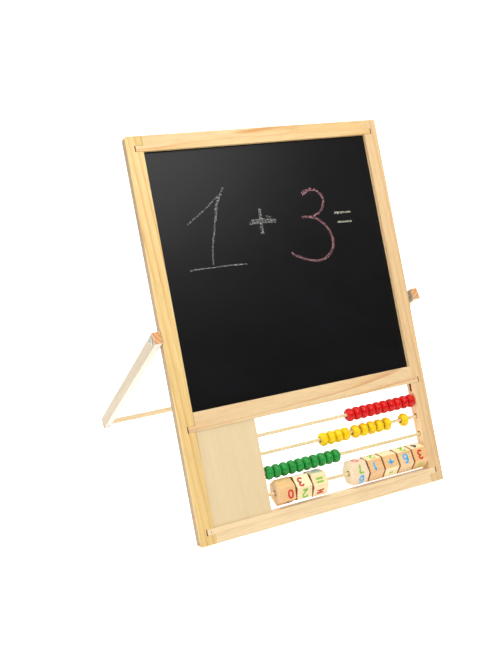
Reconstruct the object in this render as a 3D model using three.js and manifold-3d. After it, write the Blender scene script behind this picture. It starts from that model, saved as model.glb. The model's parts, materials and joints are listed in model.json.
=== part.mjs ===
// Tabletop easel with a chalkboard above and an abacus below, on a folding U-shaped rear stand.
// Millimetres, +Z up, X to the right seen from the front, the front faces -Y.
import * as THREE from "three";
import { mergeVertices } from "three/addons/utils/BufferGeometryUtils.js";
import Module from "manifold-3d";

const wasm = await Module();
wasm.setup();

// ---- driving dimensions -------------------------------------------------
const GAP = 0.3; // clearance kept between pieces that touch
const WIDTH = 315; // frame, over both stiles
const HEIGHT = 440; // frame, along its own slope
const THICK = 14; // frame, front face to back face
const LEAN = (25 * Math.PI) / 180; // how far the frame leans back
const STILE = 18; // width of a stile on the front face
const TOP_RAIL = 17; // heights of the three rails
const MIDDLE_RAIL = 20;
const BOTTOM_RAIL = 16.5;
const MIDDLE_RAIL_UP = 120; // lower edge of the middle rail above the frame's bottom
const OUTER = { pine: 0xe9c68b };

const TONGUE = { high: 6, long: 8, deep: 5, slot: 1.2 }; // rail tongue let into the stile's front
const BOARD = { thick: 3, recess: 5.3, edge: 3.4, groove: 3.7 };
const COVER = { thick: 2.5, recess: 1.4, edge: 3.3, groove: 3.6, right: 87.5 };
const POST_WIDTH = 12; // divider post behind the cover panel's right edge

const ROD_R = 2; // four dowels, on the frame's mid-plane
const ROD_HOLE_R = 2.35; // in the divider post, which grips the rods
const LOOSE_HOLE = { r: 2.95, up: 0.5 }; // in the right stile, where the rods rest low in wider holes
const ROD_HOLE_DEEP = 8;
const ROD_DEPTH = THICK / 2;
const RODS = { red: 100, yellow: 79.8, green: 58.3, blocks: 34.2 }; // heights along the slope

const BEAD = { r: 7.9, hole: 3, half: 4.5, hang: 0.58 }; // hang: beads rest on their rod
const BLOCK = { r: 15.2, hole: 2.6, long: 20.2, pitch: 20.6 };

const LEG = { wide: 14, thick: 9.4, long: 303, inset: 7 }; // inset: pivot from the upper end
const STAND_SHIFT = 5; // the stand sits this far to the right on its screws
const BAR = { thick: 5.4, wide: 8, off: -2, fromPivot: 284, let: 3.2 };
const SCREW = { r: 2, head: 4.75, headHigh: 1.8, into: 12.5 };
const PIVOT_UP = 222.5; // pivot above the frame's bottom, along the slope

// ---- worked out from those ----------------------------------------------
const INNER_LEFT = STILE;
const INNER_RIGHT = WIDTH - STILE;
const TOP_RAIL_UP = HEIGHT - TOP_RAIL;
const MIDDLE_TOP = MIDDLE_RAIL_UP + MIDDLE_RAIL;
const up = [0, Math.sin(LEAN), Math.cos(LEAN)]; // along the slope
const back = [0, Math.cos(LEAN), -Math.sin(LEAN)]; // through the frame
const GROUND = THICK * back[2]; // the frame's lower rear edge touches the table
const pivotY = PIVOT_UP * up[1] + ROD_DEPTH * back[1];
const pivotZ = PIVOT_UP * up[2] + ROD_DEPTH * back[2];
const legReach = LEG.long - LEG.inset;
// angle of the legs from the vertical that puts their lower front edge on the table
const LEG_ANGLE =
  Math.atan2(LEG.wide / 2, legReach) +
  Math.acos((pivotZ - GROUND) / Math.hypot(legReach, LEG.wide / 2));
const LEFT_LEG_IN = -GAP; // inner face of the left leg
const RIGHT_LEG_IN = WIDTH + GAP + STAND_SHIFT; // inner face of the right leg
const headOut = LEG.thick + GAP + SCREW.headHigh;
const footBack = pivotY + legReach * Math.sin(LEG_ANGLE) + (LEG.wide / 2) * Math.cos(LEG_ANGLE);
const CENTRE_X = (LEFT_LEG_IN - headOut + RIGHT_LEG_IN + headOut) / 2;
const CENTRE_Y = footBack / 2;

// ---- materials ----------------------------------------------------------
const paint = (color, roughness, metalness = 0) =>
  new THREE.MeshStandardMaterial({ color, roughness, metalness });
const pine = paint(OUTER.pine, 0.5);
const birch = paint(0xe6d2a6, 0.55);
const slate = paint(0x26282a, 0.85);
const dowel = paint(0xf0dcae, 0.5);
const beech = paint(0xe8bf88, 0.5);
const zinc = paint(0xb9b9b6, 0.35, 1);
const beadPaint = {
  red: paint(0xe3120b, 0.35),
  yellow: paint(0xffd60a, 0.35),
  green: paint(0x1e8e3a, 0.35),
};

// ---- solids -------------------------------------------------------------
// a closed geometry as a manifold solid, and back
function solid(geometry) {
  const g = geometry.clone();
  g.deleteAttribute("normal");
  g.deleteAttribute("uv");
  const m = mergeVertices(g, 1e-4);
  return new wasm.Manifold(
    new wasm.Mesh({
      numProp: 3,
      vertProperties: new Float32Array(m.attributes.position.array),
      triVerts: new Uint32Array(m.index.array),
    }),
  );
}
function geometryOf(manifold) {
  const m = manifold.getMesh();
  const g = new THREE.BufferGeometry();
  g.setAttribute("position", new THREE.BufferAttribute(new Float32Array(m.vertProperties), 3));
  g.setIndex(new THREE.BufferAttribute(new Uint32Array(m.triVerts), 1));
  g.computeVertexNormals();
  return g;
}
function cut(geometry, tools) {
  let s = solid(geometry);
  for (const t of tools) s = s.subtract(solid(t));
  return geometryOf(s);
}
function join(geometries) {
  let s = solid(geometries[0]);
  for (const g of geometries.slice(1)) s = s.add(solid(g));
  return s;
}
// box between two corners; y is depth behind the front face, z is height along the slope
function block(x0, x1, y0, y1, z0, z1) {
  const g = new THREE.BoxGeometry(x1 - x0, y1 - y0, z1 - z0);
  g.translate((x0 + x1) / 2, (y0 + y1) / 2, (z0 + z1) / 2);
  return g;
}
// round bar along X
function bar(x0, x1, r, y, z, sides = 12) {
  const g = new THREE.CylinderGeometry(r, r, x1 - x0, sides);
  g.rotateZ(Math.PI / 2);
  g.translate((x0 + x1) / 2, y, z);
  return g;
}
function add(group, name, geometry, material) {
  const m = new THREE.Mesh(geometry, material);
  m.name = name;
  group.add(m);
}

// ---- the frame ----------------------------------------------------------
const rails = [
  { name: "top_rail", z0: TOP_RAIL_UP, z1: HEIGHT, tongue: TOP_RAIL_UP },
  { name: "middle_rail", z0: MIDDLE_RAIL_UP, z1: MIDDLE_TOP, tongue: MIDDLE_RAIL_UP },
  { name: "bottom_rail", z0: 0, z1: BOTTOM_RAIL, tongue: BOTTOM_RAIL - TONGUE.high },
];
const grooveY = [BOARD.recess - GAP, BOARD.recess + BOARD.thick + GAP];
const coverY = [COVER.recess - GAP, COVER.recess + COVER.thick + GAP];

// a stile with its notches for the rail tongues, board groove, pivot hole and rod holes
function stile(left) {
  const at = (x) => (left ? x : WIDTH - x); // x measured from the outer side
  const span = (a, b) => [Math.min(at(a), at(b)), Math.max(at(a), at(b))];
  const tools = rails.map((r) =>
    block(
      ...span(STILE - TONGUE.long - TONGUE.slot, STILE + 1),
      -1,
      TONGUE.deep + GAP,
      r.tongue - GAP,
      r.tongue + TONGUE.high + (r.tongue > HEIGHT ? 1 : GAP),
    ),
  );
  tools.push(
    block(
      ...span(STILE - BOARD.groove, STILE + 1),
      ...grooveY,
      MIDDLE_RAIL_UP - 10,
      TOP_RAIL_UP + BOARD.groove,
    ),
  );
  tools.push(bar(...span(-1, SCREW.into + 0.6), SCREW.r + GAP, ROD_DEPTH, PIVOT_UP));
  if (!left)
    for (const z of Object.values(RODS)) {
      const ends = span(STILE - ROD_HOLE_DEEP, STILE + 1);
      tools.push(bar(...ends, LOOSE_HOLE.r, ROD_DEPTH, z + LOOSE_HOLE.up));
    }
  return cut(block(...span(0, STILE), 0, THICK, 0, HEIGHT), tools);
}

// a rail with a tongue at each end and the grooves that hold the panels
function rail(r) {
  const body = join([
    block(INNER_LEFT + GAP, INNER_RIGHT - GAP, 0, THICK, r.z0, r.z1),
    block(
      INNER_LEFT - TONGUE.long,
      INNER_RIGHT + TONGUE.long,
      0,
      TONGUE.deep,
      r.tongue,
      r.tongue + TONGUE.high,
    ),
  ]);
  const board = (z0, z1) =>
    block(INNER_LEFT - BOARD.groove, INNER_RIGHT + BOARD.groove, ...grooveY, z0, z1);
  const cover = (z0, z1) => block(INNER_LEFT + 0.2, COVER.right + GAP, ...coverY, z0, z1);
  const tools = {
    top_rail: [board(r.z0 - 1, r.z0 + BOARD.groove)],
    middle_rail: [board(r.z1 - BOARD.groove, r.z1 + 1), cover(r.z0 - 1, r.z0 + COVER.groove)],
    bottom_rail: [cover(r.z1 - COVER.groove, r.z1 + 1)],
  }[r.name];
  let s = body;
  for (const t of tools) s = s.subtract(solid(t));
  return geometryOf(s);
}

function frame(group) {
  add(group, "left_stile", stile(true), pine);
  add(group, "right_stile", stile(false), pine);
  for (const r of rails) add(group, r.name, rail(r), pine);
  const board = block(
    INNER_LEFT - BOARD.edge,
    INNER_RIGHT + BOARD.edge,
    BOARD.recess,
    BOARD.recess + BOARD.thick,
    MIDDLE_TOP - BOARD.edge,
    TOP_RAIL_UP + BOARD.edge,
  );
  add(group, "chalkboard", board, slate);
  const cover = block(
    INNER_LEFT + GAP,
    COVER.right,
    COVER.recess,
    COVER.recess + COVER.thick,
    BOTTOM_RAIL - COVER.edge,
    MIDDLE_RAIL_UP + COVER.edge,
  );
  add(group, "cover_panel", cover, birch);
  const post = block(
    COVER.right - POST_WIDTH,
    COVER.right,
    coverY[1],
    THICK,
    BOTTOM_RAIL + GAP,
    MIDDLE_RAIL_UP - GAP,
  );
  const sockets = Object.values(RODS).map((z) =>
    bar(COVER.right - ROD_HOLE_DEEP, COVER.right + 1, ROD_HOLE_R, ROD_DEPTH, z),
  );
  add(group, "divider_post", cut(post, sockets), pine);
}

// ---- abacus -------------------------------------------------------------
function rods(group) {
  const x0 = COVER.right - ROD_HOLE_DEEP + GAP;
  const x1 = INNER_RIGHT + ROD_HOLE_DEEP - GAP;
  for (const [name, z] of Object.entries(RODS))
    add(group, `rod_${name}`, bar(x0, x1, ROD_R, ROD_DEPTH, z), dowel);
}

// flattened ball with a hole through it, turned about X
function bead() {
  const { r, hole, half } = BEAD;
  const side = [
    [hole, 0.84 * half],
    [0.71 * r, half],
    [0.93 * r, 0.6 * half],
  ];
  const points = [
    ...side.map(([a, b]) => new THREE.Vector2(a, -b)),
    new THREE.Vector2(r, 0),
    ...side.reverse().map(([a, b]) => new THREE.Vector2(a, b)),
    new THREE.Vector2(hole, -0.84 * half),
  ];
  const g = new THREE.LatheGeometry(points, 12);
  g.rotateZ(-Math.PI / 2);
  return g;
}

// centres of the beads along each rod, left to right
const tenFrom = (first, pitch) => Array.from({ length: 10 }, (_, i) => first + i * pitch);
const BEADS = {
  red: tenFrom(INNER_RIGHT - GAP - BEAD.half - 9 * 9.35, 9.35),
  yellow: [168.5, 178.2, 187.9, 197.6, 211.4, 222.1, 232.8, 243.5, 254.2, 278.6],
  green: tenFrom(COVER.right + 2.2 + BEAD.half, 9.5),
};

function beads(group) {
  for (const [colour, centres] of Object.entries(BEADS))
    centres.forEach((x, i) => {
      const g = bead();
      const y = ROD_DEPTH - BEAD.hang * back[2];
      g.translate(x, y, RODS[colour] - BEAD.hang * up[2]);
      add(group, `bead_${colour}_${String(i + 1).padStart(2, "0")}`, g, beadPaint[colour]);
    });
}

// hexagonal number blocks, each turned its own way; turn is the angle of one corner above the front
const TURNS = [21, 5, 50, 51, 46, 46, 43, 44];
const BLOCK_STARTS = [0, 1, 2].map((i) => 97 + i * BLOCK.pitch);
BLOCK_STARTS.push(...[5, 4, 3, 2, 1].map((i) => 294.9 - i * BLOCK.pitch));

// corners of a regular polygon, the first one at the angle turn; way is 1 clockwise, -1 the other way
function polygon(sides, radius, turn, way) {
  return Array.from({ length: sides }, (_, k) => {
    const a = ((turn + (way * 360 * k) / sides) * Math.PI) / 180;
    return new THREE.Vector2(-radius * Math.sin(a), -radius * Math.cos(a));
  });
}

function numberBlock(turn) {
  const shape = new THREE.Shape(polygon(6, BLOCK.r, turn, -1));
  shape.holes.push(new THREE.Path(polygon(12, BLOCK.hole, 0, 1)));
  const g = new THREE.ExtrudeGeometry(shape, { depth: BLOCK.long, bevelEnabled: false });
  g.rotateY(Math.PI / 2); // length along X
  return g;
}

function blocks(group) {
  BLOCK_STARTS.forEach((x, i) => {
    const g = numberBlock(TURNS[i]);
    g.translate(x, ROD_DEPTH, RODS.blocks);
    add(group, `number_block_${i + 1}`, g, beech);
  });
}

// ---- rear stand, drawn about its pivot with z along the legs -------------
function stand(group) {
  const legs = {
    stand_leg_left: [LEFT_LEG_IN - LEG.thick, LEFT_LEG_IN],
    stand_leg_right: [RIGHT_LEG_IN, RIGHT_LEG_IN + LEG.thick],
  };
  const barY = [BAR.off - BAR.thick / 2, BAR.off + BAR.thick / 2];
  const barZ = [-BAR.fromPivot - BAR.wide, -BAR.fromPivot];
  const barX = [LEFT_LEG_IN - BAR.let, RIGHT_LEG_IN + BAR.let];
  const mortise = block(
    barX[0] - GAP,
    barX[1] + GAP,
    barY[0] - GAP,
    barY[1] + GAP,
    barZ[0] - GAP,
    barZ[1] + GAP,
  );
  for (const [name, [x0, x1]] of Object.entries(legs)) {
    const leg = block(x0, x1, -LEG.wide / 2, LEG.wide / 2, -legReach, LEG.inset);
    const hole = bar(x0 - 1, x1 + 1, SCREW.r + GAP, 0, 0);
    add(group, name, cut(leg, [hole, mortise]), pine);
  }
  add(group, "stand_crossbar", block(...barX, ...barY, ...barZ), pine);
}

// round-head screw along X, its head outside the leg and its shank in the stile
function pivotScrew(left) {
  const seat = left ? LEFT_LEG_IN - LEG.thick - GAP : RIGHT_LEG_IN + LEG.thick + GAP;
  const tip = left ? SCREW.into : WIDTH - SCREW.into;
  const long = Math.abs(tip - seat);
  const { r, head, headHigh } = SCREW;
  const points = [
    [0, -long],
    [r, -long + 3],
    [r, 0],
    [head, 0],
    [head, 0.35 * headHigh],
    [0.72 * head, 0.85 * headHigh],
    [0, headHigh],
  ].map(([a, b]) => new THREE.Vector2(a, b));
  const g = new THREE.LatheGeometry(points, 16);
  g.rotateZ(left ? Math.PI / 2 : -Math.PI / 2);
  g.translate(seat, ROD_DEPTH, PIVOT_UP);
  return g;
}

// ---- assembly -----------------------------------------------------------
const easel = new THREE.Group();
easel.name = "tabletop_easel";
easel.position.set(-CENTRE_X, -CENTRE_Y, -GROUND);

const leaning = new THREE.Group();
leaning.rotation.x = -LEAN;
easel.add(leaning);
frame(leaning);
rods(leaning);
beads(leaning);
blocks(leaning);
add(leaning, "pivot_screw_left", pivotScrew(true), zinc);
add(leaning, "pivot_screw_right", pivotScrew(false), zinc);

const rear = new THREE.Group();
rear.position.set(0, pivotY, pivotZ);
rear.rotation.x = LEG_ANGLE;
easel.add(rear);
stand(rear);

export default easel;
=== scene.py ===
"""Looks for a tabletop easel: pine frame, chalkboard, abacus with painted beads and printed number
blocks, and a folding rear stand. Everything is in metres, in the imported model's frame."""
import json
import math
import random

import bmesh
import bpy
from mathutils import Matrix, Vector


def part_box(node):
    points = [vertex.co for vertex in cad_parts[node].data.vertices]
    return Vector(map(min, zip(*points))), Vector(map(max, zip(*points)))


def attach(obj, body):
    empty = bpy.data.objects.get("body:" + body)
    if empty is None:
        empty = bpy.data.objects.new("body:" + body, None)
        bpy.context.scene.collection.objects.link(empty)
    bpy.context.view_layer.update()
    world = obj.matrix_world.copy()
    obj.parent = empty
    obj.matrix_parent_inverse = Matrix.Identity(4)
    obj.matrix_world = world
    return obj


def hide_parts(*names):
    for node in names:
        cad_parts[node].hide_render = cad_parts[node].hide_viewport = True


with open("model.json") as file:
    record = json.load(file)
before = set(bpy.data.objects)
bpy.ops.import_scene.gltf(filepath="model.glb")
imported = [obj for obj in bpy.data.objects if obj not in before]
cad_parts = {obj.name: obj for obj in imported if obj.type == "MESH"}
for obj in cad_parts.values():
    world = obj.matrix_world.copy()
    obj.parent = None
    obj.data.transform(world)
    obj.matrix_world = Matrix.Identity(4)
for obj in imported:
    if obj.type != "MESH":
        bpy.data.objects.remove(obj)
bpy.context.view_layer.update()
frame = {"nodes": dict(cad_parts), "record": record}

MM = 0.001

# ---- sizes shared with the solids, in millimetres ------------------------
LEAN = math.radians(25)  # how far the frame leans back
THICK = 14  # frame thickness
WIDTH = 315
STILE = 18
BOARD_FACE = 5.3  # the board's surface, behind the frame's front face
ROD_DEPTH = 7
PIVOT_UP = 222.5  # the stand's screws, up the stiles
RODS = {"red": 100, "yellow": 79.8, "green": 58.3, "blocks": 34.2}
BLOCK_R, BLOCK_LONG, BLOCK_HOLE = 15.2, 19.7, 2.6
BLOCK_TURNS = (21, 5, 50, 51, 46, 46, 43, 44)  # degrees from a corner in front to how each stands
BEAD_R, BEAD_HALF, BEAD_HOLE = 7.9, 4.5, 3.0

# ---- the two slopes ------------------------------------------------------
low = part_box("left_stile")[0]
FRAME_CORNER = Vector((low.x, low.y, THICK * MM * math.sin(LEAN)))
# x to the right, y through the frame from its front face, z up along its slope
SLOPE = Matrix.Translation(FRAME_CORNER) @ Matrix.Rotation(-LEAN, 4, "X")
ALONG_X = Matrix.Rotation(math.radians(90), 4, "Y")  # turns a piece's z to the right
# the stand's pivot and slope, from its joint and its leg's box
fold = next(j for j in frame["record"]["behaviour"]["joints"] if j["name"] == "stand_fold")
LEG_ANGLE = -math.radians(fold["range_deg"][0]) - LEAN
LEG_SLOPE = Matrix.Translation(Vector(fold["pos_m"])) @ Matrix.Rotation(LEG_ANGLE, 4, "X")


# ---- colours and nodes ---------------------------------------------------
def linear(hex_colour):
    """An sRGB hex colour as linear red, green, blue and an alpha of 1."""
    parts = [int(hex_colour[i : i + 2], 16) / 255 for i in (1, 3, 5)]
    return tuple(c / 12.92 if c <= 0.04045 else ((c + 0.055) / 1.055) ** 2.4 for c in parts) + (1.0,)


def add(tree, kind, inputs=None, out=0, stops=(), **settings):
    """Adds a node with its settings and links, and gives back one of its outputs. inputs are values or
    other nodes' outputs, by name or number. stops are a colour ramp's (position, hex colour) pairs."""
    node = tree.nodes.new("ShaderNode" + kind)
    for name, value in settings.items():
        setattr(node, name, value)
    for key, value in (inputs or {}).items():
        if isinstance(value, bpy.types.NodeSocket):
            tree.links.new(value, node.inputs[key])
        else:
            node.inputs[key].default_value = value
    if stops:
        elements = node.color_ramp.elements
        while len(elements) < len(stops):
            elements.new(0.5)
        for element, (position, colour) in zip(elements, stops):
            element.position, element.color = position, linear(colour)
    return node.outputs[out] if node.outputs else None


# the numbers of a Mix node's colour sockets, whose names it also gives to other sockets
FACTOR, FIRST, SECOND, MIXED = 0, 6, 7, 2


def spots(size_mm):
    """The noise texture's scale for spots of this size."""
    return 1 / (size_mm * MM)


def bands(width_mm):
    """The wave texture's scale for rings or bands of this width."""
    return 2 * math.pi / (20 * width_mm * MM)


def new_material(name):
    """An empty material, its node tree, and the piece's own coordinates to draw in."""
    material = bpy.data.materials.new(name)
    material.use_nodes = True
    tree = material.node_tree
    tree.nodes.clear()
    return material, tree, add(tree, "TexCoord", out="Object")


def surface(tree, inputs):
    """Ends a material: its Principled shader, with these inputs, on its output."""
    add(tree, "OutputMaterial", {"Surface": add(tree, "BsdfPrincipled", inputs)})


def wood(name, early, middle, late, ring_mm, contrast=0.7, warp=4.0, slant=1.5, fibre=0.10,
         coat=0.2, coat_rough=0.3):
    """Wood sawn along local z, its origin on the tree's heart line. early, middle and late are the
    colours across one year's ring and ring_mm its width. warp is how far rings wander, slant how many
    degrees the saw was off the grain, and coat how much clear varnish lies on it."""
    material, tree, place = new_material(name)
    place = add(tree, "Mapping", {"Vector": place, "Rotation": (0, math.radians(slant), 0)})
    # rings run nearly straight along the grain, so z is squeezed before it disturbs them
    flow = add(tree, "Mapping", {"Vector": place, "Scale": (1, 1, 0.07)})
    wander = {"Vector": flow, "Scale": spots(26), "Detail": 2, "Roughness": 0.5}
    drift = add(tree, "TexNoise", wander, "Color")
    centred = add(tree, "VectorMath", {0: drift, 1: (0.5, 0.5, 0.5)}, operation="SUBTRACT")
    pushed = add(tree, "VectorMath", {0: centred, "Scale": warp * MM * 2}, operation="SCALE")
    moved = add(tree, "VectorMath", {0: flow, 1: pushed}, operation="ADD")
    rings = add(
        tree,
        "TexWave",
        {"Vector": moved, "Scale": bands(ring_mm), "Distortion": 0.6, "Detail": 2, "Detail Scale": 1.5},
        "Fac",
        wave_type="RINGS",
        rings_direction="Z",
        wave_profile="SAW",
    )
    across = ((0, early), (0.5, early), (0.78, middle), (0.93, late), (1, early))
    year = add(tree, "ValToRGB", {"Fac": rings}, stops=across)
    # some rings are strong and some hardly show
    patch = add(tree, "Mapping", {"Vector": place, "Scale": (1, 1, 0.12)})
    strength = add(tree, "TexNoise", {"Vector": patch, "Scale": spots(18), "Detail": 1}, "Fac")
    limits = {"From Min": 0.35, "From Max": 0.65, "To Min": contrast * 0.25, "To Max": contrast}
    shown = add(tree, "MapRange", {"Value": strength, **limits})
    base = add(tree, "ValToRGB", {"Fac": strength}, stops=((0.25, early), (0.8, middle)))
    tint = add(tree, "Mix", {FACTOR: shown, FIRST: base, SECOND: year}, MIXED, data_type="RGBA")
    # fibres are 0.1 mm streaks, drawn at 0.45 mm so that they show
    fine = add(tree, "Mapping", {"Vector": place, "Scale": (1, 1, 0.025)})
    hair = {"Vector": fine, "Scale": spots(0.45), "Detail": 3, "Roughness": 0.6}
    streak = add(tree, "TexNoise", hair, "Fac")
    grey = add(tree, "ValToRGB", {"Fac": streak}, stops=((0.3, "#C9B79C"), (0.62, "#FFFFFF")))
    colour = add(
        tree,
        "Mix",
        {FACTOR: fibre * 4, FIRST: tint, SECOND: grey},
        MIXED,
        data_type="RGBA",
        blend_type="MULTIPLY",
    )
    bump = add(tree, "Bump", {"Height": streak, "Strength": 0.25, "Distance": 0.05 * MM})
    sheen = {"Value": streak, "From Min": 0.3, "From Max": 0.7, "To Min": 0.52, "To Max": 0.41}
    dull = add(tree, "MapRange", sheen)
    surface(
        tree,
        {
            "Base Color": colour,
            "Normal": bump,
            "Roughness": dull,
            "Coat Weight": coat,
            "Coat Roughness": coat_rough,
            "IOR": 1.5,
        },
    )
    return material


def end_grain(name, pale, dark, ring_mm):
    """Cut across the fibres: it drinks the varnish, so it is darker and duller, with open pores."""
    material, tree, place = new_material(name)
    rings = add(
        tree,
        "TexWave",
        {"Vector": place, "Scale": bands(ring_mm), "Distortion": 1.2, "Detail": 2, "Detail Scale": 2},
        "Fac",
        wave_type="RINGS",
        rings_direction="Z",
    )
    tint = add(tree, "ValToRGB", {"Fac": rings}, stops=((0.2, pale), (0.9, dark)))
    # pores are 0.1 mm, drawn at 0.4 mm so that they show
    pores = add(tree, "TexNoise", {"Vector": place, "Scale": spots(0.4), "Detail": 2}, "Fac")
    speck = add(tree, "ValToRGB", {"Fac": pores}, stops=((0.35, "#CDAE84"), (0.55, "#FFFFFF")))
    colour = add(
        tree,
        "Mix",
        {FACTOR: 0.35, FIRST: tint, SECOND: speck},
        MIXED,
        data_type="RGBA",
        blend_type="MULTIPLY",
    )
    bump = add(tree, "Bump", {"Height": pores, "Strength": 0.4, "Distance": 0.1 * MM})
    surface(tree, {"Base Color": colour, "Normal": bump, "Roughness": 0.68, "IOR": 1.5})
    return material


def painted(name, colour, shade):
    """Spray-painted turned wood: even satin colour, faintly mottled, with faint orange peel."""
    material, tree, place = new_material(name)
    cloud = add(tree, "TexNoise", {"Vector": place, "Scale": spots(6.2), "Detail": 2}, "Fac")
    tint = add(tree, "ValToRGB", {"Fac": cloud}, stops=((0.3, shade), (0.6, colour)))
    peel = add(tree, "TexNoise", {"Vector": place, "Scale": spots(0.67), "Detail": 1}, "Fac")
    bump = add(tree, "Bump", {"Height": peel, "Strength": 0.2, "Distance": 0.05 * MM})
    satin = {"Value": cloud, "From Min": 0.3, "From Max": 0.7, "To Min": 0.24, "To Max": 0.34}
    gloss = add(tree, "MapRange", satin)
    looks = {"Base Color": tint, "Normal": bump, "Roughness": gloss, "Specular IOR Level": 0.33, "IOR": 1.5}
    surface(tree, looks)
    return material


def ink(name, colour, thin):
    """Screen-printed ink on sanded wood: flat, with the grain showing through as thinner flecks."""
    material, tree, place = new_material(name)
    along = add(tree, "Mapping", {"Vector": place, "Scale": (1, 1, 0.15)})
    fleck = add(tree, "TexNoise", {"Vector": along, "Scale": spots(1.1), "Detail": 3}, "Fac")
    tint = add(tree, "ValToRGB", {"Fac": fleck}, stops=((0.3, thin), (0.42, colour)))
    surface(tree, {"Base Color": tint, "Roughness": 0.5, "IOR": 1.5})
    return material


def chalk(name, colour, skip):
    """A chalk line: powder on the board's tooth, broken where the chalk skipped. skip is how much of
    it did."""
    material, tree, place = new_material(name)
    # the tooth is about 0.5 mm, drawn at 1.25 mm so that the skips show
    tooth = {"Vector": place, "Scale": spots(1.25), "Detail": 3, "Roughness": 0.7}
    grit = add(tree, "TexNoise", tooth, "Fac")
    limits = {"From Min": skip, "From Max": skip + 0.12, "To Min": 0.06, "To Max": 0.85}
    cover = add(tree, "MapRange", {"Value": grit, **limits})
    tint = add(tree, "ValToRGB", {"Fac": grit}, stops=((0.4, "#8B8984"), (0.62, colour)))
    surface(tree, {"Base Color": tint, "Alpha": cover, "Roughness": 0.95, "Specular IOR Level": 0.1})
    return material


def board_paint():
    """Matt black chalkboard paint: a fine even tooth, with old chalk dust wiped thin in broad arcs."""
    material, tree, place = new_material("Chalkboard paint, matt black")
    wipe = add(tree, "Mapping", {"Vector": place, "Scale": (1, 1, 2.4), "Rotation": (0, 0.5, 0)})
    arcs = {"Vector": wipe, "Scale": spots(110), "Detail": 4, "Roughness": 0.55, "Distortion": 0.6}
    haze = add(tree, "TexNoise", arcs, "Fac")
    dust = add(tree, "TexNoise", {"Vector": place, "Scale": spots(0.67), "Detail": 2}, "Fac")
    dull = add(tree, "ValToRGB", {"Fac": haze}, stops=((0.35, "#060608"), (0.75, "#0D0D10")))
    specks = add(tree, "ValToRGB", {"Fac": dust}, stops=((0.62, "#000000"), (0.75, "#1A1A1D")))
    colour = add(
        tree,
        "Mix",
        {FACTOR: 0.6, FIRST: dull, SECOND: specks},
        MIXED,
        data_type="RGBA",
        blend_type="ADD",
    )
    # the roller's orange peel is about 1 mm across, drawn at 1.5 mm so that it shows
    rolled = {"Vector": place, "Scale": spots(1.5), "Detail": 3, "Roughness": 0.6}
    peel = add(tree, "TexNoise", rolled, "Fac")
    bump = add(tree, "Bump", {"Height": peel, "Strength": 0.6, "Distance": 0.15 * MM})
    surface(tree, {"Base Color": colour, "Normal": bump, "Roughness": 0.3, "Specular IOR Level": 0.235})
    return material


def white_coat():
    """Melamine on the board's back: smooth and white, with faint grey wiping marks."""
    material, tree, place = new_material("White melamine, glossy")
    haze = add(tree, "TexNoise", {"Vector": place, "Scale": spots(140), "Detail": 2}, "Fac")
    colour = add(tree, "ValToRGB", {"Fac": haze}, stops=((0.3, "#EBECEA"), (0.7, "#F2F2F0")))
    shine = {"Value": haze, "From Min": 0.3, "From Max": 0.7, "To Min": 0.3, "To Max": 0.34}
    gloss = add(tree, "MapRange", shine)
    surface(tree, {"Base Color": colour, "Roughness": gloss, "IOR": 1.5})
    return material


def fibrous(name, dark, pale, fleck_mm, roughness):
    """Bare wood fibre, dry and faintly mottled: painted shade inside joints and holes, or a board's pressed
    edge.
    """
    material, tree, place = new_material(name)
    felt = add(tree, "TexNoise", {"Vector": place, "Scale": spots(fleck_mm), "Detail": 3}, "Fac")
    colour = add(tree, "ValToRGB", {"Fac": felt}, stops=((0.3, dark), (0.7, pale)))
    surface(tree, {"Base Color": colour, "Roughness": roughness, "IOR": 1.5})
    return material


def ply_edge():
    """The sawn edge of plywood: three veneers, the middle one showing darker end grain."""
    material, tree, place = new_material("Birch plywood edge")
    layers = add(
        tree,
        "TexWave",
        {"Vector": place, "Scale": bands(1.6), "Distortion": 0.3},
        "Fac",
        bands_direction="Y",
    )
    tint = add(tree, "ValToRGB", {"Fac": layers}, stops=((0.3, "#C79B62"), (0.6, "#E8CD9A")))
    grit = add(tree, "TexNoise", {"Vector": place, "Scale": spots(0.55), "Detail": 2}, "Fac")
    speck = add(tree, "ValToRGB", {"Fac": grit}, stops=((0.35, "#A98255"), (0.6, "#FFFFFF")))
    colour = add(
        tree,
        "Mix",
        {FACTOR: 0.4, FIRST: tint, SECOND: speck},
        MIXED,
        data_type="RGBA",
        blend_type="MULTIPLY",
    )
    surface(tree, {"Base Color": colour, "Roughness": 0.7})
    return material


def zinc():
    """Zinc-plated steel: bright grey with fine turning marks round the head."""
    material, tree, place = new_material("Zinc-plated steel, turned")
    # the marks are 0.1 mm apart, drawn at 0.35 mm so that they show
    marks = add(
        tree,
        "TexWave",
        {"Vector": place, "Scale": bands(0.35), "Distortion": 0.4},
        "Fac",
        wave_type="RINGS",
        rings_direction="Z",
    )
    bump = add(tree, "Bump", {"Height": marks, "Strength": 0.15, "Distance": 0.03 * MM})
    cloud = add(tree, "TexNoise", {"Vector": place, "Scale": spots(1.4), "Detail": 2}, "Fac")
    colour = add(tree, "ValToRGB", {"Fac": cloud}, stops=((0.3, "#BDBAB4"), (0.7, "#D6D3CC")))
    surface(tree, {"Base Color": colour, "Normal": bump, "Metallic": 1.0, "Roughness": 0.5})
    return material


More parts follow.
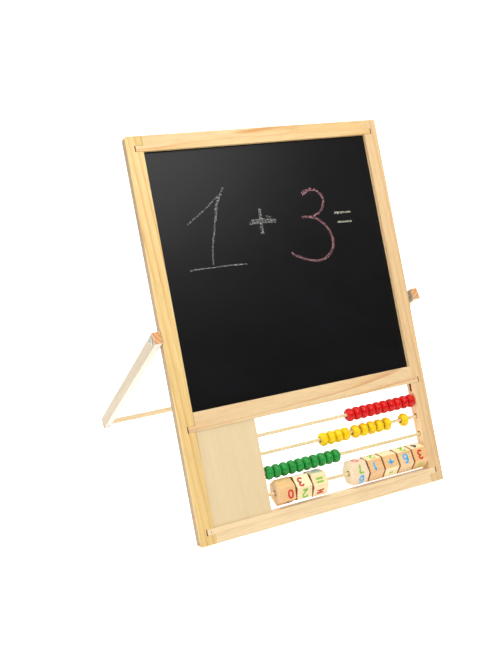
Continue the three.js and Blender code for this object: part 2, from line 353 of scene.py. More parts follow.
# satin varnished pine: warm, with soft gold rings. Each member is cut from its own board
PINE = wood("Varnished pine, golden", "#EFD08C", "#E9BF76", "#D5933C", 6.4, 0.75, warp=3, slant=2.6)
PINE_TAN = wood("Varnished pine, tan heartwood", "#EACA98", "#E1B984", "#C79156", 5.2, 0.55, warp=3)
PINE_TOP = wood("Varnished pine, orange figure", "#ECCD94", "#E7B873", "#D88E3F", 5.0, 1.0, warp=10)
PINE_ROSY = wood("Varnished pine, rosy", "#EED1A2", "#E7C08C", "#D0915A", 5.0, 0.85, warp=8)
PINE_CREAM = wood("Varnished pine, cream", "#F8E0B6", "#F3D4A2", "#E2B276", 7.0, 0.5, warp=6)
# lighter pine for the stiles' inner faces: painted light, as if lit from the side
PINE_INNER_LIT = wood("Varnished pine, painted light on the inner edge", "#FFE2B2", "#F9CD96", "#DD985A", 4.0, 0.8, warp=3)
# sanded and left bare: greyer and dull, with hardly any figure
PINE_BARE = wood("Pine, sanded bare edge", "#AF9672", "#A68C69", "#927552", 6.4, 0.4, warp=3, coat=0)
PINE_PALE = wood("Basswood, sanded bare", "#D0C0A7", "#C8B79B", "#B89F7F", 7.0, 0.35, coat=0)
# near white: painted light on the legs' lower front faces, as if lit from the floor
LEG_UNDERSIDE_LIGHT = wood("Basswood, white sapwood", "#FDF8EE", "#FAF0DF", "#EDDCC0", 8.0, 0.3, coat=0)
# peeled and turned birch: pale and even, nearly unmarked
BIRCH = wood("Birch plywood face", "#E8D2A8", "#E3CB9F", "#D9BE90", 9.0, 0.2, fibre=0.05, coat=0.05)
DOWEL = wood("Birch dowel, sanded", "#F2DEB0", "#ECD5A4", "#DFBF86", 3.2, 0.25, coat=0.05)
# sawn ends: orange in the pine, pale in the beech, and dark brown on a block's end and end chamfers where
# it meets the next block: painted shade in the gap
PINE_END = end_grain("Pine end grain", "#E4AE76", "#D08A52", 4.2)
BEECH_END = end_grain("Beech end grain", "#FFE4C0", "#F8D0A0", 2.6)
BEECH_END_PALE = end_grain("Pale beech end grain", "#FFF4DC", "#FBE2BC", 2.6)
GAP_SHADE_BEECH = end_grain("Beech, painted shade at block gaps", "#C98E55", "#A86C3A", 2.6)
# lacquered beech: close, straight rings under a clear gloss. kind: name, ring colours, ring, contrast
BEECHES = {
    "striped": ("Beech, orange stripe", "#F4CA8C", "#EAAE6A", "#D08038", 2.4, 0.85),
    "cream": ("Beech, cream sapwood", "#FAE6B4", "#F4D89E", "#E2B274", 3.0, 0.4),
    "peach": ("Beech, peach", "#F6D4A4", "#EEC28C", "#D8985C", 2.6, 0.45),
    "pink": ("Beech, pinkish", "#F5DDBE", "#EECFA8", "#DDAA7A", 2.8, 0.4),
    "orange": ("Beech, deep orange", "#F2C48C", "#E8B072", "#CE8240", 2.6, 0.55),
}
BLOCK_WOODS = {kind: wood(*look, warp=2.5, coat=1, coat_rough=0.2) for kind, look in BEECHES.items()}
BLOCK_PALER_BEECH = wood("Beech, paler face", "#FFF1C6", "#FAE6B2", "#EAC98C", 3.0, 0.35, warp=2.5)
# satin paint on the beads: full colour with a soft highlight
BEAD_PAINTS = {
    "red": painted("Satin red paint", "#DB0B06", "#C40703"),
    "yellow": painted("Satin yellow paint", "#F6D200", "#EDBE00"),
    "green": painted("Satin green paint", "#1F963B", "#187E2F"),
}
# printed inks: flat and bright, paler where the grain kept them thin
INKS = {
    "red": ink("Red printed ink", "#D0180A", "#DA4428"),
    "green": ink("Leaf green printed ink", "#7CBE22", "#A4C85A"),
    "blue": ink("Sky blue printed ink", "#26AEE6", "#78C6E6"),
    "pale_blue": ink("Worn pale blue ink", "#8EC4DC", "#B9CDC4"),
    "black": ink("Black printed ink", "#2B2320", "#5C4636"),
    "olive": ink("Olive printed ink", "#9DAF3A", "#B9BC6A"),
}
# chalk: dry, dusty and broken. name, colour, how much of the line skipped
CHALKS = {
    "white": chalk("White chalk", "#ACACAA", 0.49),
    "cream": chalk("Cream chalk", "#CBC8B2", 0.42),
    "pink": chalk("Pink chalk", "#CF8A93", 0.5),
}
BOARD_PAINT, WHITE_COAT = board_paint(), white_coat()
PLY_EDGE, ZINC = ply_edge(), zinc()
JOINT_SHADE = fibrous("Pine, painted shade in joints and holes", "#4E260E", "#7C4420", 1.1, 0.8)  # dark brown: painted shade inside mortises and holes and between blocks
HARDBOARD = fibrous("Hardboard edge", "#5A3F28", "#7B5A3C", 0.8, 0.85)  # brown pressed fibre


# ---- mesh helpers --------------------------------------------------------
SHARP = math.radians(35)  # edges that turn by more than this stay crisp


def make_object(name, bm, basis, materials, body, replaced=()):
    """Turns a bmesh drawn about basis into a named piece that rides on a body."""
    mesh = bpy.data.meshes.new(name)
    bm.to_mesh(mesh)
    bm.free()
    for material in materials:
        mesh.materials.append(material)
    mesh.shade_smooth()
    mesh.set_sharp_from_angle(angle=SHARP)
    piece = bpy.data.objects.new(name, mesh)
    bpy.context.scene.collection.objects.link(piece)
    piece.matrix_world = basis
    bpy.context.view_layer.update()
    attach(piece, body)
    if replaced:
        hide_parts(*replaced)
    return piece


def flat_faces(piece):
    """Keeps big flat faces flat in the light beside their rounded corners."""
    piece.modifiers.new("flat faces", "WEIGHTED_NORMAL").keep_sharp = True
    return piece


def paint_hole_shade(piece, radius, centre=(0, 0)):
    """Gives the drilled hole along a piece's z its last material: dark brown painted shade inside the hole.
    """
    for face in piece.data.polygons:
        out = math.hypot(face.center.x - centre[0], face.center.y - centre[1])
        if out < radius * MM and abs(face.normal.z) < 0.9:
            face.material_index = len(piece.data.materials) - 1


def soften(bm, width, wanted, segments=3):
    """Rounds the outward corners that pass the wanted test."""
    edges = []
    for edge in bm.edges:
        if len(edge.link_faces) == 2 and wanted(edge) and edge.calc_face_angle_signed(0) > math.radians(50):
            edges.append(edge)
    bmesh.ops.bevel(
        bm,
        geom=edges,
        offset=width * MM,
        segments=segments,
        profile=0.5,
        affect="EDGES",
        clamp_overlap=True,
    )


PRESS = 0.24  # how far a glued joint's faces come together, of the solids' clearance


def close_joint(bm, shoulder, tongue):
    """Presses a rail's shoulders and its tongue's sides up to the stile, leaving a hairline."""
    middle = sum(tongue) / 2
    reach = (tongue[1] - tongue[0]) / 2
    for vert in bm.verts:
        if abs(vert.co.z) < shoulder * MM:
            continue
        if abs(vert.co.z) < (shoulder + 0.5) * MM:
            vert.co.z += math.copysign(PRESS * MM, vert.co.z)
        off = vert.co.x / MM - middle
        if reach - 0.1 < abs(off) < reach + 0.1:
            vert.co.x += math.copysign(PRESS * MM, off)


EDGE_ROUND, CORNER_ROUND = 0.6, 1.7  # sanded edges, and the frame's four outer corners


def sawn(node, basis, materials, slot, heart=(0, 0, 0), body="frame", **cut):
    """A wooden member with the solid's shape, eased edges and its grain along local z. heart is the
    tree's centre line in millimetres from the member's middle. materials are for the faces, the ends,
    the joint faces (in the frame, dark painted shade), the bare outer edge and the inner edge (lighter
    pine, painted light). cut may hold: corner, the side where the frame's corners are, -1 or 1; ends,
    to ease the ends too; under, the material of the underside (on the legs, near white as painted
    light); shoulder and tongue, to press a rail's joints; round_mm; and name."""
    source = frame["nodes"][node]
    bm = bmesh.new()
    bm.from_mesh(source.data)
    bmesh.ops.remove_doubles(bm, verts=bm.verts, dist=1e-6)
    bmesh.ops.dissolve_limit(bm, angle_limit=math.radians(1), verts=bm.verts, edges=bm.edges)
    bmesh.ops.transform(bm, matrix=basis.inverted() @ source.matrix_world, verts=bm.verts)
    spans = [(min(v.co[i] for v in bm.verts), max(v.co[i] for v in bm.verts)) for i in range(3)]
    middle = Vector([(a + b) / 2 for a, b in spans])
    half = [(b - a) / 2 for a, b in spans]
    bmesh.ops.translate(bm, vec=-middle, verts=bm.verts)
    bmesh.ops.recalc_face_normals(bm, faces=bm.faces)
    if "tongue" in cut:
        close_joint(bm, cut["shoulder"], [z - (middle.x / MM) for z in cut["tongue"]])

    def outer(edge):
        side = cut.get("corner", 0)
        if side and all(v.co.x * side < 0 and v.co.y < 0 for v in edge.verts):
            return False  # planed flush with the rails
        if edge.calc_length() > 25 * MM:
            return True
        at_end = all(abs(abs(v.co.z) - half[2]) < 0.1 * MM for v in edge.verts)
        return cut.get("ends", False) and at_end and edge.calc_length() > 4 * MM

    def corner(edge):
        side = cut.get("corner", 0)
        return all(
            abs(v.co.x - side * half[0]) < 0.1 * MM and abs(abs(v.co.z) - half[2]) < 0.1 * MM
            for v in edge.verts
        )

    for face in bm.faces:
        middle_of_face = face.calc_center_median()
        inside = all(abs(middle_of_face[i]) < half[i] - 0.05 * MM for i in range(3))
        # faces inside the member's box, such as a mortise's walls, take the third material: in the frame,
        # dark painted shade
        if inside and len(materials) > 2:
            face.material_index = 2
        elif len(materials) > 1 and abs(face.normal.z) > 0.8:
            face.material_index = 1
        elif len(materials) > 3 and face.normal.x * cut.get("corner", 0) > 0.8:
            face.material_index = 3
        # the stiles' inner faces take a lighter pine: painted light, as if lit from the side
        elif len(materials) > 4 and face.normal.x * cut["corner"] < -0.8:
            face.material_index = 4
        # the legs' lower front faces take near-white wood: painted light, as if lit from the floor
        elif "under" in cut and face.normal.y < -0.8:
            face.material_index = cut["under"]
    if cut.get("corner"):
        soften(bm, CORNER_ROUND, corner, 5)
    soften(bm, cut.get("round_mm", EDGE_ROUND), outer)
    bmesh.ops.translate(bm, vec=-Vector(heart) * MM, verts=bm.verts)
    place = basis @ Matrix.Translation(middle + Vector(heart) * MM)
    name = cut.get("name", node.replace("_", "-"))
    return flat_faces(make_object(name, bm, place, materials, body, [node]))


def turned(profile, sides, name, basis, materials, body, replaced=(), closed=True):
    """A solid of revolution about local z. profile is (radius, height) in millimetres."""
    bm = bmesh.new()
    rings = []
    for radius, height in profile:
        if radius == 0:
            rings.append([bm.verts.new((0, 0, height * MM))] * sides)
            continue
        angles = [2 * math.pi * k / sides for k in range(sides)]
        rings.append(
            [
                bm.verts.new((radius * MM * math.cos(a), radius * MM * math.sin(a), height * MM))
                for a in angles
            ]
        )
    pairs = list(zip(rings, rings[1:])) + ([(rings[-1], rings[0])] if closed else [])
    for a, b in pairs:
        for k in range(sides):
            loop = [a[k], a[(k + 1) % sides], b[(k + 1) % sides], b[k]]
            face = list(dict.fromkeys(loop))
            if len(face) > 2:
                bm.faces.new(face)
    bmesh.ops.recalc_face_normals(bm, faces=bm.faces)
    return make_object(name, bm, basis, materials, body, replaced)


def smooth_path(points, steps=6):
    """A curve through the points (Catmull-Rom), as a list of 2-D points."""
    if len(points) < 3:
        return [Vector(p) for p in points]
    ends = [points[0], *points, points[-1]]
    path = []
    for a, b, c, d in zip(ends, ends[1:], ends[2:], ends[3:]):
        a, b, c, d = Vector(a), Vector(b), Vector(c), Vector(d)
        for k in range(steps):
            t = k / steps
            bend = (2 * a - 5 * b + 4 * c - d) * t**2 + (3 * b - a - 3 * c + d) * t**3
            path.append((2 * b + (c - a) * t + bend) * 0.5)
    return path + [Vector(points[-1])]


def stroke(bm, path, width, low_z, high_z, place, index=0, jitter=0.0, dice=None):
    """A flat closed stroke along a 2-D path. width is one number or one per end, in millimetres;
    place takes (x, y, z) in millimetres to the piece's own space."""
    start, end = width if isinstance(width, tuple) else (width, width)
    count = len(path)
    rings = []
    for i, point in enumerate(path):
        way = path[min(i + 1, count - 1)] - path[max(i - 1, 0)]
        side = Vector((-way.y, way.x)).normalized()
        half = (start + (end - start) * i / (count - 1)) / 2
        left, right = half, half
        if dice and jitter:
            left += dice.uniform(-jitter, jitter)
            right += dice.uniform(-jitter, jitter)
        a, b = point + side * left, point - side * right
        rings.append([bm.verts.new(place(*p)) for p in (
            (a.x, a.y, low_z), (b.x, b.y, low_z), (b.x, b.y, high_z), (a.x, a.y, high_z))])
    faces = [bm.faces.new(rings[0]), bm.faces.new(rings[-1][::-1])]
    for a, b in zip(rings, rings[1:]):
        for k in range(4):
            faces.append(bm.faces.new((a[k], b[k], b[(k + 1) % 4], a[(k + 1) % 4])))
    for face in faces:
        face.material_index = index


# ---- frame members -------------------------------------------------------
RAIL_SLOPE = SLOPE @ ALONG_X
SHOULDER = (WIDTH - 2 * STILE - 0.6) / 2  # from a rail's middle, with the solids' clearance
STILE_SET = [PINE_END, JOINT_SHADE, PINE_BARE, PINE_INNER_LIT]
RAIL_SET = [PINE_END, JOINT_SHADE]
sawn("left_stile", SLOPE, [PINE] + STILE_SET, "pine", (46, 22, 310), ends=True, corner=-1)
sawn("right_stile", SLOPE, [PINE_TAN] + STILE_SET, "pine", (-38, 30, -120), ends=True, corner=1)
# a rail's own x points down the slope, so its tongue's two sides are below zero
sawn("top_rail", RAIL_SLOPE, [PINE_TOP] + RAIL_SET, "pine", (6, 27, 60),
     shoulder=SHOULDER, tongue=(-429, -423))
sawn("middle_rail", RAIL_SLOPE, [PINE_ROSY] + RAIL_SET, "pine", (-12, 33, -240),
     shoulder=SHOULDER, tongue=(-126, -120))
sawn("bottom_rail", RAIL_SLOPE, [PINE_CREAM] + RAIL_SET, "pine", (30, 36, 420),
     shoulder=SHOULDER, tongue=(-16.5, -10.5))
sawn("divider_post", SLOPE, [PINE, PINE_END], "pine", (20, 20, 0), round_mm=0.4)
sawn("cover_panel", SLOPE, [BIRCH, PLY_EDGE], "birch_plywood", (60, 90, 0), round_mm=0.2)
LEG_SET = [PINE_PALE, PINE_END, LEG_UNDERSIDE_LIGHT]
sawn("stand_leg_left", LEG_SLOPE, LEG_SET, "pine", (30, 18, 80), "stand", ends=True, under=2)
sawn("stand_leg_right", LEG_SLOPE, LEG_SET, "pine", (-24, 28, -50), "stand", ends=True, under=2)
sawn("stand_crossbar", LEG_SLOPE @ ALONG_X, [PINE_CREAM, PINE_END], "pine", (14, 20, 0), "stand")

for face in bpy.data.objects["cover-panel"].data.polygons:
    face.material_index = 0 if abs(face.normal.y) > 0.5 else 1

board = sawn("chalkboard", SLOPE, [BOARD_PAINT], "chalkboard", round_mm=0.2, name="writing-board")
for material in (WHITE_COAT, HARDBOARD):
    board.data.materials.append(material)
for face in board.data.polygons:
    face.material_index = 0 if face.normal.y < -0.5 else 1 if face.normal.y > 0.5 else 2

# small brads that pin the rails, sunk and darkened: how far across the front and up it
BRADS = ((14.4, 13.2), (295.5, 8.2), (299.5, 123.4))
BRAD_HEAD = [(0, -0.25), (0.5, -0.25), (0.58, 0.01), (0.3, 0.05), (0, 0.06)]
for i, (x, up) in enumerate(BRADS):
    turned(
        BRAD_HEAD, 12, f"brad-{i + 1}",
        SLOPE @ Matrix.Translation(Vector((x, 0, up)) * MM) @ Matrix.Rotation(math.radians(90), 4, "X"),
        [HARDBOARD], "frame", closed=False,
    )


# ---- rods and screws -----------------------------------------------------
ROD_R, ROD_EASE = 2, 0.4

for name, up in RODS.items():
    a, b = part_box(f"rod_{name}")
    long = (b.x - a.x) / MM
    start = Matrix.Translation(Vector((a.x - FRAME_CORNER.x, ROD_DEPTH * MM, up * MM)))
    near = [(0, 0), (ROD_R - ROD_EASE, 0), (ROD_R, ROD_EASE)]
    along = [(ROD_R, long * t) for t in (0.25, 0.5, 0.75)]
    far = [(ROD_R, long - ROD_EASE), (ROD_R - ROD_EASE, long), (0, long)]
    turned(
        near + along + far,
        24,
        f"rod-{name}",
        SLOPE @ start @ ALONG_X,
        [DOWEL],
        "frame",
        [f"rod_{name}"],
        closed=False,
    )


SCREW_HEAD = 1.8  # the head's height
RECESS = (4.2, 0.9, 1.6)  # one slot of the cross: long, wide and deep


def pivot_screw(side):
    """A round-head screw with a cross recess, its head against the leg's outer face."""
    a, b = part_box(f"pivot_screw_{side}")
    out = -1 if side == "left" else 1
    tip = (b.x if out < 0 else a.x) - FRAME_CORNER.x
    long = (b.x - a.x) / MM
    centre = Matrix.Translation(Vector((tip, ROD_DEPTH * MM, PIVOT_UP * MM)))
    seat = long - SCREW_HEAD
    dome = [(4.75 * math.cos(t), seat + 0.35 + 1.4 * math.sin(t)) for t in (0, 0.3, 0.6, 0.9, 1.2, 1.45)]
    profile = [(0, 0), (0.8, 1.6), (2, 3.2), (2, seat), (4.6, seat)] + dome + [(0, seat + 1.75)]
    piece = turned(
        profile, 40, f"pivot-screw-{side}", SLOPE @ centre @ (ALONG_X if out > 0 else ALONG_X.inverted()),
        [ZINC], "frame", [f"pivot_screw_{side}"], closed=False,
    )
    cutter = bmesh.new()
    for turn in (0, 90):
        made = bmesh.ops.create_cube(cutter, size=1)["verts"]
        bmesh.ops.scale(cutter, vec=Vector(RECESS) * MM, verts=made)
        bmesh.ops.rotate(cutter, matrix=Matrix.Rotation(math.radians(turn + 20), 3, "Z"), verts=made)
        bmesh.ops.translate(cutter, vec=(0, 0, (seat + 1.6) * MM), verts=made)
    tool_mesh = bpy.data.meshes.new("recess")
    cutter.to_mesh(tool_mesh)
    cutter.free()
    tool = bpy.data.objects.new("recess", tool_mesh)
    bpy.context.scene.collection.objects.link(tool)
    tool.matrix_world = piece.matrix_world
    cut = piece.modifiers.new("recess", "BOOLEAN")
    cut.operation, cut.object, cut.solver = "DIFFERENCE", tool, "EXACT"
    cut.use_self = True
    bpy.context.view_layer.update()
    done = bpy.data.meshes.new_from_object(piece.evaluated_get(bpy.context.evaluated_depsgraph_get()))
    piece.modifiers.clear()
    piece.data = done
    bpy.data.objects.remove(tool)


pivot_screw("left")
pivot_screw("right")


# ---- beads ---------------------------------------------------------------
BEAD_FLAT = 4.3  # radius of the flat round each end of the hole


def bead_profile():
    """Half section of a flattened ball with a rounded rim and an eased hole."""
    half, hole = BEAD_HALF, BEAD_HOLE
    outer = []
    steps = 15
    for k in range(steps + 1):
        t = -math.pi / 2 + math.pi * k / steps
        reach = abs(math.cos(t)) ** 0.92
        outer.append((BEAD_FLAT + (BEAD_R - BEAD_FLAT) * reach, half * math.sin(t)))
    left = [(hole, -half + 0.9), (hole + 0.35, -half + 0.3)]
    right = [(hole + 0.35, half - 0.3), (hole, half - 0.9)]
    return left + outer + right


dice = random.Random(7)
BEAD_SECTION = bead_profile()
for colour in ("red", "yellow", "green"):
    for i in range(1, 11):
        node = f"bead_{colour}_{i:02d}"
        a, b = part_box(node)
        centre = Vector(((a.x + b.x) / 2, (a.y + b.y) / 2, (a.z + b.z) / 2))
        size = dice.uniform(0.985, 1.0)
        spin = Matrix.Rotation(dice.uniform(0, 6.28), 4, "Z")
        bead = turned(
            [(r * size if r > BEAD_HOLE + 0.5 else r, z) for r, z in BEAD_SECTION],
            40, f"bead-{colour}-{i:02d}", Matrix.Translation(centre) @ ALONG_X @ spin,
            [BEAD_PAINTS[colour], JOINT_SHADE], node, [node],
        )
        # the inside of the bead's hole is dark painted shade
        paint_hole_shade(bead, BEAD_HOLE + 0.1)


# ---- number blocks -------------------------------------------------------
# figures as strokes in a box one high, x to the right and y up
FIGURES = {
    "0": [[(0, 0.45), (-0.17, 0.36), (-0.25, 0.11), (-0.25, -0.11), (-0.17, -0.36), (0, -0.45),
           (0.17, -0.36), (0.25, -0.11), (0.25, 0.11), (0.17, 0.36), (0, 0.45)]],
    "1": [[(-0.16, 0.26), (-0.02, 0.36), (0.08, 0.5)], [(0.08, 0.5), (0.08, -0.5)]],
    "2": [[(-0.27, 0.22), (-0.22, 0.42), (0, 0.5), (0.21, 0.42), (0.25, 0.2), (0.12, -0.04),
           (-0.27, -0.46)],
          [(-0.3, -0.46), (0.3, -0.46)]],
    "3": [[(-0.25, 0.34), (-0.08, 0.49), (0.15, 0.45), (0.23, 0.26), (0.12, 0.08), (-0.08, 0.04)],
          [(-0.08, 0.04), (0.16, -0.02), (0.27, -0.22), (0.18, -0.42), (-0.04, -0.5), (-0.27, -0.36)]],
    "4": [[(0.14, -0.5), (0.14, 0.5)], [(0.14, 0.5), (-0.28, -0.18)], [(-0.28, -0.18), (0.32, -0.18)]],
    "5": [[(0.24, 0.48), (-0.18, 0.48)], [(-0.18, 0.48), (-0.22, 0.06)],
          [(-0.22, 0.06), (0, 0.14), (0.22, 0.02), (0.26, -0.2), (0.12, -0.45), (-0.1, -0.5),
           (-0.28, -0.38)]],
    "6": [[(0.22, 0.42), (0.02, 0.5), (-0.18, 0.36), (-0.27, 0), (-0.24, -0.3), (-0.06, -0.5),
           (0.14, -0.46), (0.27, -0.24), (0.22, -0.02), (0.04, 0.08), (-0.14, 0.02), (-0.26, -0.16)]],
    "7": [[(-0.27, 0.46), (0.28, 0.46)], [(0.26, 0.46), (0.1, 0.1), (-0.06, -0.5)]],
    "+": [[(0, 0.43), (0, -0.43)], [(-0.43, 0), (0.43, 0)]],
    "-": [[(-0.28, 0), (0.28, 0)]],
    "=": [[(-0.44, 0.2), (0.44, 0.2)], [(-0.44, -0.2), (0.44, -0.2)]],
    "/": [[(-0.44, 0.2), (0.44, 0.2)], [(-0.44, -0.2), (0.44, -0.2)], [(-0.4, -0.34), (0.4, 0.34)]],
    "x": [[(-0.24, 0.24), (0.24, -0.24)], [(-0.24, -0.24), (0.24, 0.24)]],
    "_": [[(-0.26, -0.66), (0.26, -0.66)]],
}
# for each block: its wood, and its six faces from the one just above the first corner round over the top;
# a face is (figures, ink, upside down, how far the print is off the middle in millimetres)
NUMBER_BLOCKS = [
    ("striped", [None, ("4", "black", False, 0), ("5", "blue", False, 1), ("+", "green", False, 0),
                 ("1", "black", False, 1), ("0", "red", False, 3.2)]),
    ("cream", [("3", "red", True, -2.2), ("4", "blue", True, 0), ("5", "green", True, 1),
               ("1", "red", True, 0), ("0", "black", True, 0), ("2", "green", True, 0.6)]),
    ("cream", [("0", "pale_blue", False, 1), ("+", "red", False, 0), ("-", "blue", False, 0),
               ("+", "black", False, 0), ("/", "red", False, -0.3), ("=", "green", False, 0)]),
    ("pink", [("5", "red", True, 0), ("3", "blue", True, 0), ("1", "green", True, 0),
              ("0", "red", True, 0), ("6_", "blue", True, 0), ("7", "green", True, 0)]),
    ("orange", [("2", "green", True, 1), ("3", "red", True, 0), ("4", "blue", True, 0),
                ("5", "black", True, 0), None, ("1", "blue", True, -1)]),
    ("striped", [None, ("x", "red", True, 0), ("=", "black", True, 0), ("+", "green", True, 0),
                 ("-", "green", True, 0), ("+", "blue", True, 0)]),
    ("peach", [("2", "green", True, 1.8), ("3", "red", True, 0), ("4", "black", True, 0),
              ("5", "green", True, 0), None, ("6", "blue", True, 0)]),
    ("striped", [("4", "black", True, -1), ("7", "green", True, 0), ("1", "blue", True, 0),
                 ("0", "green", True, 0), ("=", "olive", True, 1), ("3", "red", True, 0)]),
]
# the faces drawn in a paler beech, with blocks and faces both counted from 0
PALE_BEECH_FACES = {1: (0,), 4: (0,), 5: (0, 4), 6: (0,), 7: (0,)}
FIGURE_HIGH = 9.7
INK_WIDE = 2.1
PRINT_LOW = 0.8  # the prints sit this far below the middle of their faces
BLOCK_FLAT = BLOCK_R * math.cos(math.radians(30))  # from the rod to the middle of a face
BLOCK_ROUND, HOLE_EASE = 0.9, 0.6
CHAMFER_DEEP, CHAMFER_LONG = 0.8, 0.7  # round each end of a block
WOOD, END, CHAMFER_SHADE, PALER_WOOD, END_SHADE = range(5)  # a block's materials, in the order of their slots


def hexagon_block(number, kind, basis, node):
    """A hexagonal block sawn along local z, with eased edges and a drilled hole."""
    bm = bmesh.new()
    turn = math.radians(BLOCK_TURNS[number])
    sides = 24
    half = BLOCK_LONG / 2

    def ring(radius_at, z):
        return [bm.verts.new((radius_at(k) * MM * math.cos(2 * math.pi * k / sides),
                              radius_at(k) * MM * math.sin(2 * math.pi * k / sides), z * MM))
                for k in range(sides)]

    def hexagonal(inset):
        def radius(k):
            from_middle = math.radians((360 / sides * k) % 60 - 30)
            return (BLOCK_R - inset) * math.cos(math.radians(30)) / math.cos(from_middle)
        return radius

    hole = [ring(lambda k: BLOCK_HOLE, z) for z in (HOLE_EASE - half, half - HOLE_EASE)]
    rims = [ring(lambda k: BLOCK_HOLE + HOLE_EASE, z) for z in (-half, half)]
    ends = [ring(hexagonal(CHAMFER_DEEP), z) for z in (-half, half)]
    walls = [ring(hexagonal(0), z) for z in (CHAMFER_LONG - half, half - CHAMFER_LONG)]
    loop = [hole[0], rims[0], ends[0], walls[0], walls[1], ends[1], rims[1], hole[1]]
    for a, b in zip(loop, loop[1:] + loop[:1]):
        for k in range(sides):
            bm.faces.new((a[k], a[(k + 1) % sides], b[(k + 1) % sides], b[k]))
    bmesh.ops.recalc_face_normals(bm, faces=bm.faces)
    arrises = [e for e in bm.edges
               if len(e.link_faces) == 2 and e.calc_length() > 15 * MM and e.calc_face_angle(0) > 0.8]
    bmesh.ops.bevel(bm, geom=arrises, offset=BLOCK_ROUND * MM, segments=4, profile=0.5, affect="EDGES")
    meets = {-1: number not in (0, 3), 1: number not in (2, 7)}  # its neighbours left and right
    for face in bm.faces:
        level = face.normal.z
        face.material_index = END if abs(level) > 0.8 else WOOD
        # where a block meets its neighbour, its end face and end chamfers are dark brown: painted shade for
        # the shadow in the gap
        if abs(level) > 0.3 and meets[round(math.copysign(1, level))]:
            face.material_index = END_SHADE if abs(level) > 0.8 else CHAMFER_SHADE
        side = round(-0.5 - math.degrees(math.atan2(face.normal.y, face.normal.x)) / 60) % 6
        if abs(level) < 0.3 and side in PALE_BEECH_FACES.get(number, ()):
            face.material_index = PALER_WOOD
    heart = Vector((dice.uniform(14, 26), dice.uniform(10, 24), dice.uniform(-300, 300))) * MM
    bmesh.ops.rotate(bm, matrix=Matrix.Rotation(-turn - math.pi / 2, 3, "Z"), verts=bm.verts)
    bmesh.ops.translate(bm, vec=heart, verts=bm.verts)
    end = BEECH_END if kind == "striped" else BEECH_END_PALE
    piece = make_object(
        node.replace("_", "-"), bm, basis @ Matrix.Translation(-heart),
        [BLOCK_WOODS[kind], end, GAP_SHADE_BEECH, BLOCK_PALER_BEECH, JOINT_SHADE], node, [node],
    )
    # the inside of the block's hole is dark painted shade
    paint_hole_shade(flat_faces(piece), BLOCK_HOLE + 0.5, heart)


def figures(number, faces, basis, node):
    """The printed figures of one block, as thin ink on its faces."""
    used = sorted({face[1] for face in faces if face})
    bm = bmesh.new()
    for k, face in enumerate(faces):
        if not face:
            continue
        text, colour, upside, along = face
        # a face's middle, as an angle above the front; the block's own x points down the slope
        angle = math.radians(BLOCK_TURNS[number] + 30 + 60 * k)
        out = Vector((-math.sin(angle), -math.cos(angle), 0))
        climb = Vector((-math.cos(angle), math.sin(angle), 0))
        flip = -1 if upside else 1

        def place(x, y, z):
            up = climb * (y * flip - PRINT_LOW)
            across = Vector((0, 0, x * flip + along))
            return (out * (BLOCK_FLAT + z) + up + across) * MM

        for sign in text:
            for line in FIGURES[sign]:
                path = [p * FIGURE_HIGH for p in smooth_path(line)]
                stroke(bm, path, INK_WIDE, -0.02, 0.05, place, used.index(colour))
    bmesh.ops.recalc_face_normals(bm, faces=bm.faces)
    make_object(
        node.replace("_", "-") + "-figures", bm, basis, [INKS[c] for c in used], node,
    )


for number, (kind, faces) in enumerate(NUMBER_BLOCKS):
    node = f"number_block_{number + 1}"
    a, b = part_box(node)
    middle = Vector(((a.x + b.x) / 2 - FRAME_CORNER.x, ROD_DEPTH * MM, RODS["blocks"] * MM))
    basis = SLOPE @ Matrix.Translation(middle) @ ALONG_X
    hexagon_block(number, kind, basis, node)
    figures(number, faces, basis, node)


# ---- chalk writing -------------------------------------------------------
# strokes in millimetres across and up the board, with their widths at start and end
WRITING = {
    "chalk-one": ("white", [
        ([(54, 340), (61, 344.5), (76, 354), (88, 363), (97, 369)], (1.6, 1.2)),
        ([(103, 377), (99, 370), (94, 363), (91, 357), (87.5, 343), (83.5, 329), (80, 319), (77, 306),
          (75, 293)], (2.0, 1.7)),
        ([(97, 368), (93, 360), (89.5, 350), (87, 341)], (3.0, 2.6)),
        ([(47, 289.5), (55, 290.5), (76, 290), (94, 290), (115, 289)], (1.6, 1.3)),
    ]),
    "chalk-plus": ("white", [
        ([(127, 333.2), (140, 333.2), (160, 332)], (2.8, 2.3)),
        ([(130, 336.2), (146, 336), (161, 334.2)], (2.4, 2.0)),
        ([(143, 349), (142.2, 337), (141.6, 328), (141, 320)], (3.2, 4.4)),
        ([(149, 339.5), (156, 338)], (1.6, 1.2)),
    ]),
    "chalk-three": ("pink", [
        ([(200, 361), (206, 363.5), (214, 364.5), (221.5, 360.5), (226, 354), (226, 347), (221, 339),
          (211, 333.5), (203, 333), (194, 334)], (3.4, 2.4)),
        ([(200, 360), (208, 362.5)], (3.8, 3.2)),
        ([(203, 333), (214, 329.5), (222, 322), (227, 313.5), (229.5, 304), (228, 295), (223, 288)],
         (2.6, 3.4)),
        ([(223, 288), (214, 282.5), (203, 281.5), (191, 284.5), (181, 289), (175.5, 292), (173, 295)],
         (3.2, 2.0)),
    ]),
    "chalk-equals": ("cream", [
        ([(238, 334), (249, 333.5), (260, 333.5)], (2.6, 2.2)),
        ([(240.5, 323), (249, 322.5), (259.5, 322)], (2.2, 1.9)),
    ]),
}
for name, (colour, lines) in WRITING.items():
    bm = bmesh.new()
    for line, width in lines:
        path = smooth_path(line, 10)
        stroke(
            bm, path, width, 0.01, 0.07, lambda x, y, z: Vector((x, BOARD_FACE - z, y)) * MM,
            jitter=0.3, dice=dice,
        )
    bmesh.ops.recalc_face_normals(bm, faces=bm.faces)
    make_object(name, bm, SLOPE, [CHALKS[colour]], "frame")


# ---- studio --------------------------------------------------------------
FLOOR_HALF = 14  # half the floor's width, in metres


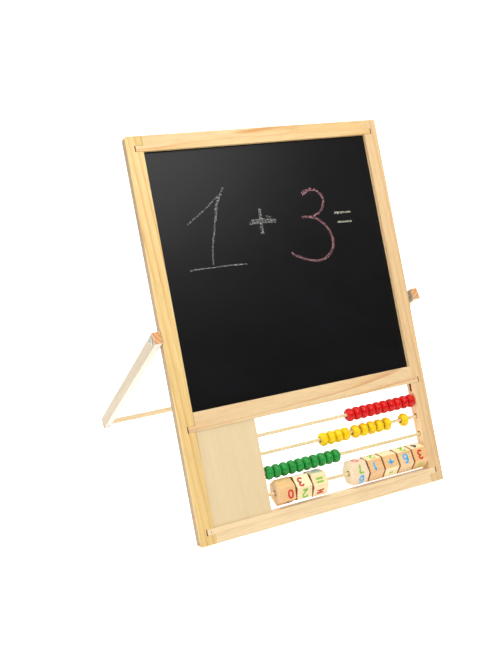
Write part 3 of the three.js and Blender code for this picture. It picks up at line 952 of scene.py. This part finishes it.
def pale_floor():
    """A plain pale floor that fades into the white background."""
    material, tree, place = new_material("Plain pale studio floor")
    mottle = add(tree, "TexNoise", {"Vector": place, "Scale": spots(330), "Detail": 1}, "Fac")
    colour = add(tree, "ValToRGB", {"Fac": mottle}, stops=((0.3, "#F4F4F3"), (0.7, "#F8F8F7")))
    # the sweep is lit until it burns out to white, but sends little light back up
    seen = add(tree, "LightPath", out="Is Camera Ray")
    glow = add(tree, "MapRange", {"Value": seen, "To Min": 0.3, "To Max": 0.9})
    white = (1, 1, 1, 1)
    surface(
        tree, {"Base Color": colour, "Roughness": 0.9, "Emission Color": white, "Emission Strength": glow}
    )
    mesh = bpy.data.meshes.new("floor")
    corners = [(x * FLOOR_HALF, y * FLOOR_HALF, 0) for x, y in ((-1, -1), (1, -1), (1, 1), (-1, 1))]
    mesh.from_pydata(corners, [], [(0, 1, 2, 3)])
    mesh.materials.append(material)
    floor = bpy.data.objects.new("floor", mesh)
    bpy.context.scene.collection.objects.link(floor)


def area_light(name, place, target, size, watts, tint="#FFFFFF"):
    """A square softbox at place, turned to target."""
    data = bpy.data.lights.new(name, "AREA")
    data.shape, data.size, data.energy = "SQUARE", size, watts
    data.color = linear(tint)[:3]
    lamp = bpy.data.objects.new(name, data)
    bpy.context.scene.collection.objects.link(lamp)
    lamp.location = place
    lamp.rotation_euler = (Vector(target) - Vector(place)).to_track_quat("-Z", "Y").to_euler()


def studio():
    """White surroundings and four softboxes: in front, overhead, left and a weak one at the right."""
    pale_floor()
    world = bpy.data.worlds.new("White surroundings")
    world.use_nodes = True
    tree = world.node_tree
    tree.nodes.clear()
    # the sweep behind and to the left is brightly lit, the room in front is dim
    towards = add(tree, "TexCoord", out="Generated")
    sweep = (-0.45, 0.88, 0.12)
    facing = add(tree, "VectorMath", {0: towards, 1: sweep}, "Value", operation="DOT_PRODUCT")
    lit = add(tree, "MapRange", {"Value": facing, "From Min": -1, "To Min": 0.12, "To Max": 0.95})
    seen = add(tree, "LightPath", out="Is Camera Ray")
    strength = add(tree, "MapRange", {"Value": seen, "To Min": lit, "To Max": 1.0})
    sky = add(tree, "Background", {"Color": (1, 1, 1, 1), "Strength": strength})
    add(tree, "OutputWorld", {"Surface": sky})
    bpy.context.scene.world = world
    area_light("key softbox", (0.12, -0.82, 1.35), (0, 0, 0.24), 0.85, 10.3)
    area_light("top softbox", (-0.2, 0.35, 1.5), (0, 0, 0.1), 1.0, 12)
    area_light("left softbox", (-1.6, -0.1, 0.7), (0, 0, 0.15), 1.0, 5)
    area_light("right softbox", (1.7, -0.7, 0.9), (0, 0, 0.2), 1.0, 2.5, "#FFF8EE")


def camera():
    """A short telephoto view from the front left, a little above the board."""
    data = bpy.data.cameras.new("view")
    data.sensor_width = 36
    data.lens = 46.01
    data.clip_start, data.clip_end = 0.01, 60
    eye = bpy.data.objects.new("view", data)
    bpy.context.scene.collection.objects.link(eye)
    turn, rise = math.radians(26.092), math.radians(21.485)
    away = Vector((math.sin(turn) * math.cos(rise), math.cos(turn) * math.cos(rise), -math.sin(rise)))
    eye.location = (-0.44307, -0.85803, 0.54094)
    eye.rotation_euler = away.to_track_quat("-Z", "Y").to_euler()
    bpy.context.scene.camera = eye


studio()
camera()
bpy.context.scene.view_settings.view_transform = "Standard"
